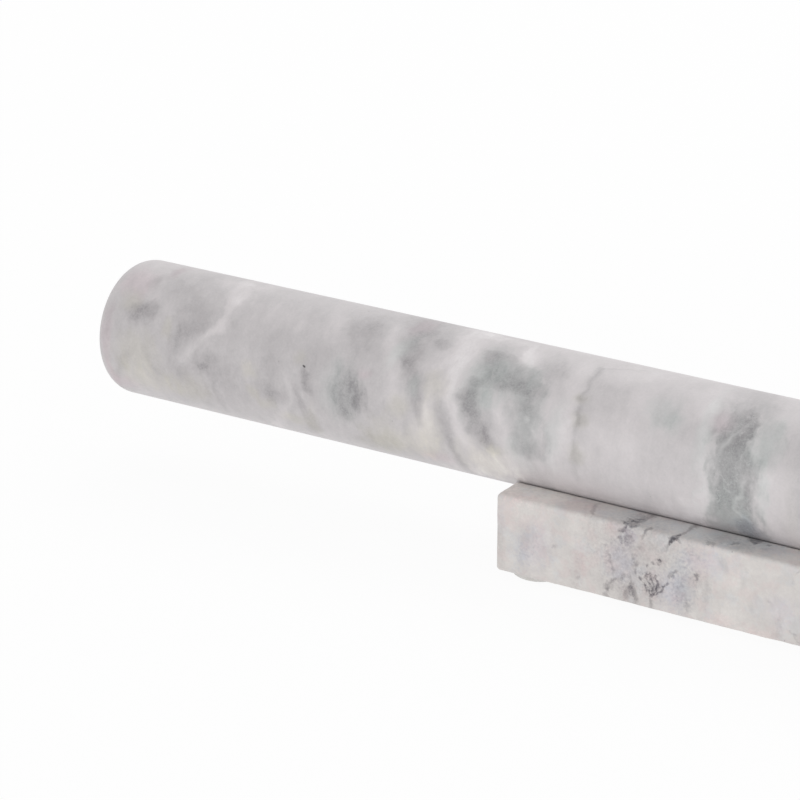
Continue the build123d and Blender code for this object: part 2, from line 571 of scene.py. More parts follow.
# Each faint tinge is (place along, height up the sheet, half sizes, colour) and any turn.
stand_lavender = (0.975, 0.97, 1.02, 1)
stand_cool = (0.955, 0.985, 1.02, 1)
stand_rose = (1.015, 0.96, 0.965, 1)
stand_ledge = (0.975, 1.0, 1.016, 1)
stand_tinges = (
    (-58, 13, (5, 7), stand_lavender, -20),
    (-63, 9, (2.6, 3), stand_cool),
    (-68, 23, (2.6, 4), stand_rose),
    (-42.4, 11, (2.4, 4), stand_rose),
    (-28, 15, (4.6, 6), stand_lavender),
    (-26, 23.6, (2, 3), stand_lavender),
    (-30, 26, (4, 1.6), stand_rose),
    (-12, 10, (5, 5), stand_lavender),
    (-8, 12, (4, 7), stand_cool),
    (-4, 22, (4, 3), stand_lavender),
    (2.6, 22, (3, 4), stand_lavender),
    (25, 13, (4, 4), stand_lavender),
    (6, 4, (4, 2), stand_rose),
    (19, 3.6, (4, 1.4), stand_rose),
    (-64, 30, (7, 3), stand_rose),
    (-44, 33, (6, 4), stand_rose),
    (-30, 34, (9, 5), stand_ledge),
    (18, 37, (8, 3), stand_ledge),
    (-5, 34.5, (24, 6), stand_ledge),
    (-2, 35, (20, 6), stand_ledge),
)
stand_chart = (
    (80, paint(78, 74, 78)),
    (130, paint(130, 126, 128)),
    (165, paint(167, 162, 161)),
    (190, paint(194, 189, 187)),
    (205, paint(209.6, 205, 202)),
    (225, paint(229, 225, 221)),
)


def make_stand_marble():
    """Warm white marble with soft cool clouds, fine dark broken veins, and the knots near the left end."""
    material, tree, shader, place = blank_material("stand_marble")
    drifted = place_group(tree, stone_drift, place, 1.5, 2.2, 2.0)["Place"]
    grain = place_group(tree, stone_grain, place)
    x, y, z = add_node(tree, "ShaderNodeSeparateXYZ", drifted).outputs
    sheet_high = 44.0
    height = calc(tree, "ADD", calc(tree, "ADD", y, z), -stand_low.y / mm)
    run = calc(tree, "DIVIDE", height, sheet_high)
    fray = spread(tree, noise(tree, place, 1.0, 3, 0.6).outputs["Fac"], 1.2)

    tone = total(tree, spread(tree, grain["Cloud"], 10), spread(tree, grain["Mottle"], 11),
                 spread(tree, grain["Crystal"], 7), 206.5)
    marks = add_strokes(tree, 0.0, x, lambda up: up / sheet_high, run, fray, stand_strokes,
                        stand_low.x / mm, stand_high.x / mm)
    marks = add_patches(tree, marks, x, height, fray, lambda up: up, stand_patches)
    broken = rise(tree, noise(tree, place, 1.6, 4, 0.65).outputs["Fac"], 0.3, 0.7, 0.55, 1.4)
    tone = calc(tree, "ADD", tone, calc(tree, "MULTIPLY", marks, broken))

    # The web of dark threads in the knot, in the purple patch at the edge and in the low wedge
    threads = calc(tree, "SUBTRACT", noise(tree, drifted, 1.9, 3, 0.55, 1.0).outputs["Fac"], 0.5)
    web = rise(tree, calc(tree, "ABSOLUTE", threads), 0.0, 0.05, 1, 0)
    flat = add_node(tree, "ShaderNodeCombineXYZ", x, height).outputs[0]
    for across, up, size, steps in ((-17.6, 10.4, (3.2, 3.2), -29), (-26.6, 24.6, (2.2, 3.2), -17),
                                    (-26, 6, (3.0, 2.2), -8), (-26, 31, (2.0, 3.0), -17)):
        knot = patch_mask(tree, flat, fray, across, up, size)
        tone = calc(tree, "MULTIPLY_ADD", calc(tree, "MULTIPLY", web, knot), steps, tone)

    # Thin broken veins and knots elsewhere, kept clear of the part of the front that has its own
    winding = noise(tree, drifted, 26, 4, 0.55, 0.6).outputs["Fac"]
    thread = rise(tree, calc(tree, "ABSOLUTE", calc(tree, "SUBTRACT", winding, 0.5)), 0.0, 0.014, 1, 0)
    parted = rise(tree, noise(tree, place, 12, 3, 0.6).outputs["Fac"], 0.48, 0.66)
    own = calc(tree, "MULTIPLY", rise(tree, x, 24, 34, 1, 0), rise(tree, height, 40, 46, 1, 0))
    elsewhere = calc(tree, "SUBTRACT", 1.0, own)
    vein = calc(tree, "MULTIPLY", calc(tree, "MULTIPLY", thread, parted), broken)
    vein = calc(tree, "MULTIPLY", vein, elsewhere)
    tone = calc(tree, "MULTIPLY_ADD", vein, -52, tone)
    knots = rise(tree, noise(tree, place, 17, 3, 0.6).outputs["Fac"], 0.6, 0.72)
    webbed = calc(tree, "MULTIPLY", calc(tree, "MULTIPLY", web, knots), elsewhere)
    tone = calc(tree, "MULTIPLY_ADD", webbed, -44, tone)
    long = calc_vector(tree, "MULTIPLY", drifted, (1.0, 0.6, 0.6))
    cloud = rise(tree, noise(tree, long, 13, 3, 0.55).outputs["Fac"], 0.5, 0.68)
    tone = calc(tree, "MULTIPLY_ADD", calc(tree, "MULTIPLY", cloud, elsewhere), -13, tone)

    tone = calc(tree, "MULTIPLY_ADD", grain["Pinhole"], -22, tone)
    colour = stone_colour(tree, tone, stand_chart)
    blush = rise(tree, noise(tree, place, 4.4, 3, 0.6).outputs["Fac"], 0.48, 0.64)
    colour = tint(tree, colour, blush, (1.0, 0.962, 0.967, 1))
    cool = rise(tree, noise(tree, drifted, 6, 3, 0.6).outputs["Fac"], 0.5, 0.64)
    colour = tint(tree, colour, cool, (0.962, 0.985, 1.01, 1))
    colour = add_tinges(tree, colour, tone, x, height, fray, lambda up: up, stand_tinges)
    finish_stone(tree, shader, colour, grain, 0.05 * mm)
    return material


stand.data.materials.append(make_stand_marble())
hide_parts("stand")
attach(stand, "stand")


# Adhesive films. A thin clear layer between each pad and the stand, cut a little smaller than the pad.
# It is pressed flat between them, so only its edge could ever be seen.

def make_adhesive():
    """Clear, faintly yellow adhesive with small trapped bubbles."""
    material, tree, shader, place = blank_material("clear_adhesive")
    bubbles = rise(tree, cells(tree, place, 1.1, "F1"), 0.15, 0.3, 1, 0)
    colour = mix_colours(tree, bubbles, paint(205, 201, 190), paint(218, 216, 208))
    tree.links.new(colour, shader.inputs["Base Color"])
    tree.links.new(calc(tree, "MULTIPLY_ADD", bubbles, 0.2, 0.25), shader.inputs["Roughness"])
    return material


adhesive = make_adhesive()
corners = ("front_left", "front_right", "rear_left", "rear_right")
for corner in corners:
    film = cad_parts["adhesive_" + corner]
    film.data.materials.clear()
    film.data.materials.append(adhesive)


# Pads. Four soft discs of clear, slightly milky silicone, moulded flat on top with a round foot.
# Each is stuck under a corner of the stand by its film, and keeps the stone off the worktop.

def make_silicone():
    """Milky silicone: pale, a little see-through, with faint dust on it."""
    material, tree, shader, place = blank_material("milky_silicone")
    dust = rise(tree, noise(tree, place, 1.4, 4, 0.6).outputs["Fac"], 0.45, 0.75)
    colour = mix_colours(tree, dust, paint(206, 203, 200), paint(194, 190, 186))
    tree.links.new(colour, shader.inputs["Base Color"])
    tree.links.new(calc(tree, "MULTIPLY_ADD", dust, 0.25, 0.32), shader.inputs["Roughness"])
    shader.inputs["IOR"].default_value = 1.41
    shader.inputs["Transmission Weight"].default_value = 0.25
    return material


silicone = make_silicone()
pad_foot_round = 0.9 * mm
pad_top_round = 0.15 * mm
for corner in corners:
    pad_low, pad_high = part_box("pad_" + corner)
    pad_middle = (pad_low + pad_high) / 2
    bpy.ops.object.select_all(action="DESELECT")
    bpy.ops.mesh.primitive_cylinder_add(
        vertices=96, radius=(pad_high.x - pad_low.x) / 2, depth=pad_high.z - pad_low.z,
        location=pad_middle)
    pad = begin("silicone_pad_" + corner)
    pick(pad, "EDGE", lambda edge: all(near(end.z, pad_low.z) for end in ends(edge)))
    bpy.ops.mesh.bevel(offset=pad_foot_round, segments=7, affect="EDGES")
    pick(pad, "EDGE", lambda edge: all(near(end.z, pad_high.z) for end in ends(edge)))
    bpy.ops.mesh.bevel(offset=pad_top_round, segments=2, affect="EDGES")
    pick(pad, "FACE", lambda face: len(face.verts) > 8)
    bpy.ops.mesh.inset(thickness=2 * mm)
    bpy.ops.mesh.inset(thickness=2 * mm)
    bpy.ops.mesh.poke()
    bpy.ops.object.mode_set(mode="OBJECT")
    bpy.ops.object.shade_smooth_by_angle(angle=math.radians(40))
    pad.data.materials.append(silicone)
    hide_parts("pad_" + corner)
    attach(pad, "stand")


# Rolling pin. One rod of light grey marble, turned and honed, with no handles and nothing inside it.
# Its flat ends run into the barrel through a full round, and it lies loose in the stand's groove.

pin_end_round = 7.4 * mm
turn_steps = 264
length_steps = 330

bpy.ops.object.select_all(action="DESELECT")
bpy.ops.mesh.primitive_plane_add(
    size=1, location=pin_middle + Vector((0, 0, pin_radius / 2)), rotation=(math.pi / 2, 0, 0))
pin = begin("marble_rolling_pin", (pin_length, pin_radius, 1))
pick(pin, "VERT", lambda vertex: near(vertex.co.z, pin_high.z))
bpy.ops.mesh.bevel(offset=pin_end_round, segments=14, affect="VERTICES")
pick(pin, "EDGE", lambda edge: all(near(end.z, pin_high.z) for end in ends(edge)))
bpy.ops.mesh.subdivide(number_cuts=length_steps)
pick(pin, "EDGE", lambda edge: near(ends(edge)[0].x, ends(edge)[1].x))
bpy.ops.mesh.subdivide(number_cuts=14)
pick(pin, "FACE", lambda face: True)
bpy.ops.mesh.delete(type="ONLY_FACE")
pick(pin, "EDGE", lambda edge: all(near(end.z, pin_middle.z) for end in ends(edge)))
bpy.ops.mesh.delete(type="EDGE")
bpy.ops.mesh.select_all(action="SELECT")
bpy.ops.mesh.spin(steps=turn_steps, angle=2 * math.pi, center=pin_middle, axis=(1, 0, 0))
bpy.ops.mesh.select_all(action="SELECT")
bpy.ops.mesh.remove_doubles(threshold=0.005 * mm)
bpy.ops.mesh.normals_make_consistent(inside=False)
bpy.ops.object.mode_set(mode="OBJECT")
roughen(pin, "turned_barrel", bump_size=40 * mm, depth=0.07 * mm)
roughen(pin, "honed_barrel", bump_size=6 * mm, depth=0.02 * mm)
bpy.ops.object.shade_smooth()

# The barrel is unrolled here: 0 degrees faces the front, 90 the top and -90 the stand.
# Each streak lists (degrees round, mm along from the middle, half width in mm).
pin_strokes = (
    ("white streak", 16, 1.0, ((95, -183, 5), (78, -181.2, 4.4), (62, -179.8, 2.2), (48, -179.8, 1.3),
         (38, -180.6, 1.9), (32, -183, 2.4), (27, -186.4, 2.2), (20, -188.8, 1.8), (12, -190, 1.7),
         (3, -191.6, 1.8))),
    ("dark flank of the white streak", -5, 1.0, ((62, -188, 4), (48, -187, 4.5), (36, -188.5, 4),
         (26, -193, 4), (16, -195, 3))),
    ("lilac thread", 10, 1.0, ((16, -152.8, 1.0), (3, -151.4, 1.2), (-8, -151.7, 1.2),
         (-18, -153.2, 1.4), (-28, -155.2, 1.5), (-38, -157.4, 1.8), (-52, -160.5, 2.4))),
    ("brown thread under the speck", -22, 1.0, ((20, -145.9, 1.2), (14, -145.1, 2.0), (8, -144.4, 2.2),
         (1, -143.7, 1.5))),
    ("brown thread, lower", -14, 1.0, ((4, -148.4, 0.9), (-4, -147.9, 1.1), (-12, -146.8, 1.3),
         (-20, -145.2, 2.0), (-32, -144.4, 2.4), (-46, -145.8, 2.4))),
    ("grey tongue", -21, 0.9, ((110, -113, 7), (78, -112, 5.6), (62, -112, 4.3), (52, -110.6, 3.8),
         (43, -109.4, 3.1), (36, -107.6, 2.9), (28, -105.6, 2.7), (20, -104.6, 2.3), (12, -104, 1.9),
         (4, -103.6, 1.5), (-3, -103.2, 1.2))),
    ("pale strip beside the tongue", 12, 1.0, ((80, -121, 3.4), (62, -119.6, 2.8), (48, -117.2, 2.3),
         (35, -114.7, 2.6), (22, -112.6, 2.8), (8, -112, 3))),
    ("thin grey arc", -17, 1.0, ((19, -95.4, 1.3), (8, -94.8, 1.7), (-3, -93.6, 1.9), (-12, -92.6, 1.8),
         (-22, -92, 1.4), (-32, -90.8, 1.7), (-42, -89.6, 2.0), (-60, -88.6, 1.8), (-90, -88, 1.8))),
    ("white band", 20, 1.0, ((110, -94, 5.5), (80, -95, 5.5), (62, -95.4, 5.4), (50, -94.8, 4.4),
         (40, -94.4, 3.6), (30, -93.4, 3.0), (20, -92, 2.6), (10, -90.4, 2.4), (0, -88.6, 2.3),
         (-8, -86.8, 2.5), (-17, -84, 3))),
    ("white band, left fork", 11, 1.0, ((34, -98, 2.2), (22, -99.8, 2.8), (6, -100.4, 2.6),
         (-10, -100.4, 3.2), (-24, -100, 4))),
    ("swirl's left arm", -27, 0.9, ((42, -85.6, 2.0), (36, -86.2, 2.4), (28, -86.4, 2.9),
         (20, -85.8, 3.0), (12, -84.6, 3.1), (4, -82.4, 3.2), (-3, -80.2, 3.2), (-9, -78, 2.8))),
    ("swirl's left arm, dark middle", -13, 0.9, ((34, -86.8, 2.0), (26, -86.6, 2.4), (18, -85.6, 2.4),
         (10, -84.2, 2.0))),
    ("swirl's left arm, brown tail", -9, 1.0, ((2, -80.6, 2.6), (-4, -78.4, 3.2), (-10, -76, 3.2),
         (-15, -74, 2.4))),
    ("swirl's crown", -23, 0.9, ((74, -82, 4), (66, -80, 6.4), (60, -78, 8.6), (54, -76.4, 11),
         (48, -75.6, 12), (43, -75.2, 12), (38, -75.2, 10))),
    ("swirl's right arm", -25, 1.0, ((48, -68, 4.4), (36, -67.2, 4.6), (28, -66.8, 4.3),
         (18, -66.9, 4.7), (8, -66.2, 4.9), (-3, -65, 4.5), (-12, -64, 4.0))),
    ("swirl's right arm, fading", -11, 1.0, ((0, -64.6, 4.4), (-12, -63.6, 4.2), (-26, -61.6, 4.4),
         (-44, -59, 4), (-80, -56, 4))),
    ("swirl's light heart", 11, 1.0, ((34, -78, 1.8), (27, -77, 2.0), (18, -75.2, 2.0),
         (8, -73, 1.9), (0, -71.6, 2.0), (-8, -70.4, 2.2))),
    ("pale green strip", 5, 1.0, ((36, -57.4, 2), (22, -56.2, 2.3), (5, -55.6, 2.2), (-14, -56, 2))),
    ("pink strip by the vein", 8, 1.0, ((80, -54.5, 3), (60, -54, 2.8), (40, -53.2, 2.2),
         (20, -52.2, 1.8), (0, -52, 2))),
    ("olive vein", -16, 1.0, ((80, -49.4, 0.7), (73, -49.4, 1.1), (66, -49.6, 1.1), (56, -49, 0.9),
         (47, -49.6, 1.3), (39, -49, 1.1), (30, -48.6, 1.0), (24, -48.4, 0.8))),
    ("olive vein's faint foot", -7, 1.0, ((24, -48.4, 1.0), (14, -48.6, 0.8), (4, -48.4, 1.1),
         (-4, -48.6, 1.2), (-14, -48.6, 0.9), (-22, -48, 0.8))),
    ("olive vein's branch", -7, 1.0, ((78, -48.4, 0.7), (83, -45, 1.0), (88, -41.5, 1.1), (93, -37, 0.8))),
    ("olive vein's shade", -5, 1.0, ((70, -48.4, 2.2), (45, -48, 3), (20, -47.6, 2.6), (0, -47.4, 2.8),
         (-18, -47.6, 2.2))),
    ("grey band", -32, 0.45, ((68, 3, 3.6), (60, 2.6, 4.6), (52, 2.2, 5.6), (45, 2.2, 6.2),
         (30, 3.6, 6.4), (15, 5, 7.4), (0, 5.4, 7.2), (-15, 5.4, 8), (-30, 5, 9.6), (-45, 5, 10.6),
         (-70, 4, 9.5), (-110, 6, 7))),
    ("grey band, pale crown", -17, 0.9, ((150, 3, 6), (110, 1, 6), (90, 1.4, 6.6), (76, 2.4, 6.6),
         (66, 2.6, 5.6), (54, 2.4, 4.6))),
    ("brown thread at the end", -12, 1.0, ((2, -212.4, 1.6), (-8, -215.6, 2.0), (-16, -217.6, 2.0),
         (-28, -219.4, 2.0))),
    ("brown thread beside it", -9, 1.0, ((8, -206.8, 1.2), (0, -205.4, 1.5), (-8, -203.4, 1.6),
         (-14, -201.4, 1.4))),
    ("grey band's heart", -9, 1.0, ((52, 5, 2.4), (44, 5, 3), (34, 4.6, 3.6), (22, 4.6, 3.6),
         (10, 5.6, 3.4), (-4, 5.6, 3.4), (-16, 4, 3))),
    ("grey band, right shade", -10, 0.9, ((64, 12.6, 3), (52, 12.8, 4), (40, 13.6, 4), (28, 13.4, 3.4),
         (20, 12.4, 2.4))),
    ("grey band, left shade", -10, 1.0, ((64, -4, 2), (56, -5, 2.6), (46, -4.6, 3), (38, -3.6, 2.4))),
    ("white line in the band", 15, 1.0, ((62, 5.6, 0.5), (56, 4.6, 0.8), (48, 3, 0.7), (42, 1.4, 0.7),
         (36, 0.2, 0.7), (31, -0.6, 0.4))),
    ("white squiggle in the band", 17, 1.0, ((12, 8.8, 0.5), (4, 8.6, 0.7), (-1, 7.6, 0.9),
         (-5, 6, 1.0), (-10, 5.6, 0.7), (-15, 6.4, 0.8), (-20, 8, 0.8), (-25, 10, 0.7))),
    ("white squiggle, second strand", 9, 1.0, ((8, 11, 0.5), (0, 10.4, 0.6), (-8, 8.6, 0.7),
         (-14, 10.4, 0.6), (-20, 11.4, 0.5))),
    ("white rim, left of the band", 10, 1.0, ((70, -9, 1.6), (58, -8.6, 1.8), (44, -7.8, 1.8),
         (30, -6.4, 1.7), (16, -5.8, 1.7), (4, -4.8, 1.8), (-6, -4.8, 1.8), (-18, -5, 1.7),
         (-34, -7.2, 1.6))),
    ("white rim, right of the band", 10, 1.0, ((22, 15.6, 2), (12, 15, 2.2), (0, 14.4, 2.2),
         (-10, 15.6, 2), (-30, 18, 2.4))),
)
# Each patch is (steps of tone, mm along, degrees round, half sizes in mm) and any turn in degrees.
pin_patches = (
    (-23, -210.4, 36, (4.6, 3.4), 15),
    (-10, -209.6, 38, (2.4, 2.6), 40),
    (-13, -211.4, 66, (2, 2.4)),
    (-11, -206.8, 88, (1.5, 4)),
    (-6, -197, 66, (6, 7), 30),
    (-6, -185.5, 74, (2, 4), -20),
    (8, -176, 90, (6, 8)),
    (7, -217, 88, (5, 8)),
    (4, -150, 92, (16, 6)),
    (-6, -202, 66, (5, 3.2), -50),
    (-12, -191, 38, (5.4, 6.5)),
    (-6, -195.6, 22, (3, 4)),
    (-16, -185, 5.5, (3.2, 3.2)),
    (-14, -185, 3.4, (1.4, 1.3)),
    (-6, -177, -8, (6, 8), -10),
    (-9, -192.8, -8, (1.6, 3.4), 10),
    (-5, -216, 28, (5, 6)),
    (-5, -216, -30, (6, 5)),
    (-5, -184, -28, (6, 5)),
    (-8, -143.6, 23, (2.6, 5)),
    (-10, -174.4, 40, (1.8, 3.6), 35),
    (-10, -157, 18, (3.4, 2.6), -20),
    (-7, -161, 2, (2.4, 4)),
    (-2, -163, 33, (3, 3)),
    (5, -170, 22, (3, 4)),
    (-13, -156, -11, (3.6, 3.2)),
    (-4, -154, 41, (6, 2.4)),
    (6, -160, 60, (9, 4.5)),
    (9, -141, 66, (3.4, 6), 20),
    (5, -212, 5, (7, 5)),
    (6, -212, -28, (9, 6)),
    (9, -166, 6, (2.6, 4)),
    (-150, -146, 22.3, (0.38, 0.36)),
    (-5, -135, 4, (3, 8)),
    (-12, -130.8, 5, (2.4, 5)),
    (-15, -129.4, 6, (4.6, 7.5), 8),
    (-34, -126.2, 5.4, (2.6, 4.2), 10),
    (-11, -129.8, 20, (2.4, 3.4), 10),
    (-9, -130, -11, (2.6, 2.6)),
    (-7, -120.6, 5, (2, 6)),
    (-18, -130, 62, (5.4, 6), 20),
    (-5, -129, 80, (5, 4)),
    (-5, -127, 42, (4, 4)),
    (-20, -109.4, 42, (2, 2.2), 30),
    (7, -105.2, 25, (1.8, 3)),
    (-10, -90, -35, (1.7, 3.2)),
    (-22, -103, 67, (2.6, 2.8)),
    (-8, -111.5, 73, (2, 1.8)),
    (-11, -120, -33, (6.5, 4.4), 25),
    (-5, -107.6, -14, (1.8, 5), 10),
    (9, -103, -12, (4, 8)),
    (5, -113, -17, (7, 5)),
    (7, -103, 47, (3, 4)),
    (10, -90.4, 48, (5, 6)),
    (8, -71, -19, (5, 7)),
    (-6, -80, 18, (3, 6)),
    (5, -31, 25, (4, 5)),
    (-6, -6, 33, (3, 4)),
    (-9, 25.4, 36, (2.6, 5)),
    (-9, 26.4, 2, (3, 7)),
    (-7, 4.6, 44, (3, 7)),
    (3, 3.6, -8, (4, 8)),
    (7, -84, 4, (2.2, 4), 30),
    (-15, -77, 48, (5, 3.2)),
    (7, -68.6, 42, (2.4, 2.2)),
    (-7, -65.6, 27, (2.2, 4)),
    (-8, -85, 62, (4, 5)),
    (-7, -80, 33, (2, 2)),
    (20, -79, -33, (8.5, 5.6)),
    (8, -90, -48, (10, 5)),
    (-8, -79, -38, (3, 3)),
    (-9, -62, 62, (3.4, 4)),
    (19, -73.5, 77, (3.2, 4.4), 20),
    (-8, -64, 72, (4, 6)),
    (-6, -84, 76, (3.4, 5)),
    (9, -84, 94, (9, 3)),
    (13, -66.2, 20, (0.9, 0.8)),
    (12, -63.6, 12.5, (1.2, 1)),
    (8, -62.4, 9, (1.4, 1)),
    (-9, -58.6, 70, (2.4, 4)),
    (-7, -58, 12, (2, 7)),
    (-10, -50, 46, (2.2, 1.3)),
    (-7, -47.6, 27, (1.8, 1.5)),
    (-7, -47, 1, (2.4, 2.4)),
    (-6, -41, 50, (4.4, 6)),
    (7, -37, 14, (8, 8)),
    (6, -30, 55, (3, 5), 20),
    (-7, -23, 50, (6, 4), -35),
    (-6, -16.6, 40, (5, 3), -30),
    (-4, -11, 40, (3, 3)),
    (-3, -18, 22, (5, 3)),
    (-22, 8.6, -33, (3.4, 4.2)),
    (-14, 0.6, 4, (1.7, 6)),
    (-9, 10.4, 2, (1.8, 6)),
    (7, 19, 8, (3.6, 8)),
    (-6, 22.4, 40, (2.6, 6)),
    (7, -11, 72, (3.6, 7)),
    (-5, -15, 88, (4, 4)),
    (6, -36, 84, (8, 5)),
    (6, 14, 72, (4, 2)),
    # Painted light: these four patches lighten the lower barrel, about 28 to 36 degrees below the front, just
    # above the stand, lifting the shade that the ledge casts on it.
    (7, -25, -36, (46, 5)),
    (7, -62, -28, (6, 5)),
    (8, -10, -30, (9, 6)),
    (6, 14, -30, (3, 5)),
    (6, 0, 60, (4, 3)),
    (-7, 8, 74, (10, 3.4)),
    (-5, -78, 32, (3.4, 2.4)),
    (5, -71.5, 40, (3, 2.6)),
    (5, -99, 5, (3, 5)),
    (-5, -40, -8, (5, 6)),
    # Painted light: a long pale strip under the overhanging left part of the barrel, 57 degrees below the
    # front, stands in for light thrown up from the table.
    (7, -150, -57, (75, 4.5)),
    (-5, 20, 0, (6, 14)),
    # Painted light and shade: the five long strips below run along the barrel at a fixed angle round it. They
    # make it a few steps lighter or darker by that angle alone, as the fall of light would.
    (-4, -28, 14, (24, 8)),
    (-4, -32, 70, (26, 4)),
    (4, -150, 53, (72, 5)),
    (-3, -150, 12, (72, 7)),
    (-4, -185, -4, (30, 9)),
    (-26, -222.6, -47, (1.3, 0.5), 10),
    (-5, -222, -20, (2.4, 8)),
)
# Each faint tinge is (mm along, degrees round, half sizes in mm, colour) and any turn.
cream = (1.005, 1.005, 0.95, 1)
green = (0.966, 1.0, 0.99, 1)
neutral = (0.955, 1.0, 0.985, 1)
pink = (1.01, 0.955, 0.975, 1)
violet = (0.965, 0.99, 1.045, 1)
olive = (1.0, 1.0, 0.955, 1)
pin_tinges = (
    (-207, 88, (2, 4), pink),
    (-223, 8, (2.4, 9), pink),
    (-222, -34, (3, 6), pink),
    (-114, 86, (3, 6), pink),
    (-211, 0, (8, 6), cream),
    (-208, -22, (10, 5), cream),
    (-191, -24, (6, 5), cream),
    (-216, 44, (3.4, 3), cream),
    (-199.5, 27, (2, 3), cream),
    (-217, 62, (6, 5), pink),
    (-217, -36, (4, 3), pink),
    (-166.5, 9, (2.6, 2.6), cream),
    (-165, -10, (2, 2.2), cream),
    (-161, -21, (3, 2), cream),
    (-148, 28, (2, 1.8), olive),
    (-144.4, -28, (2, 6), olive),
    (-152, -31, (4, 2), cream),
    (-135, 10, (3.4, 8), green),
    (-129, 6, (4.4, 8), green),
    (-124, 28, (2, 2), pink),
    (-110, 6, (3.4, 3.4), cream),
    (-112, -24, (10, 6), cream),
    (-119, -34, (7, 4.4), olive, 25),
    (-100, -14, (4, 9), cream),
    (-98, 30, (3.6, 4), olive),
    (-99, -37, (5, 3), pink),
    (-114, 56, (2.6, 6), neutral, -20),
    (-105.6, 27, (2, 3), neutral),
    (-80, -28, (9, 6), cream),
    (-76, -12, (3, 2), cream),
    (-84, 40, (5.5, 10), neutral),
    (-76, 50, (9, 6), neutral),
    (-79.5, 27, (2, 2.4), green),
    (-66, 16, (5, 12), neutral),
    (-56, 12, (2.4, 9), green),
    (-50, 46, (2.6, 1.8), olive),
    (-48, 27, (2.6, 2.2), olive),
    (-47, 1, (3, 2.6), olive),
    (-23, 49, (5, 5), green, -30),
    (-18, 41, (3, 3), green),
    (-8, 40, (1.8, 14), green),
    (4.5, 20, (8, 16), neutral),
    (13, 42, (4, 8), neutral),
    (14.6, 4, (2, 6), green),
    (4, -20, (8, 8), neutral),
    (-4, 53, (3, 3), pink),
    (8.6, -32, (3.6, 4), violet),
)
pin_chart = (
    (70, paint(70, 67, 69)),
    (150, paint(152, 148, 150)),
    (190, paint(193, 189, 190)),
    (208, paint(211, 206, 207)),
    (230, paint(232, 228, 229)),
)


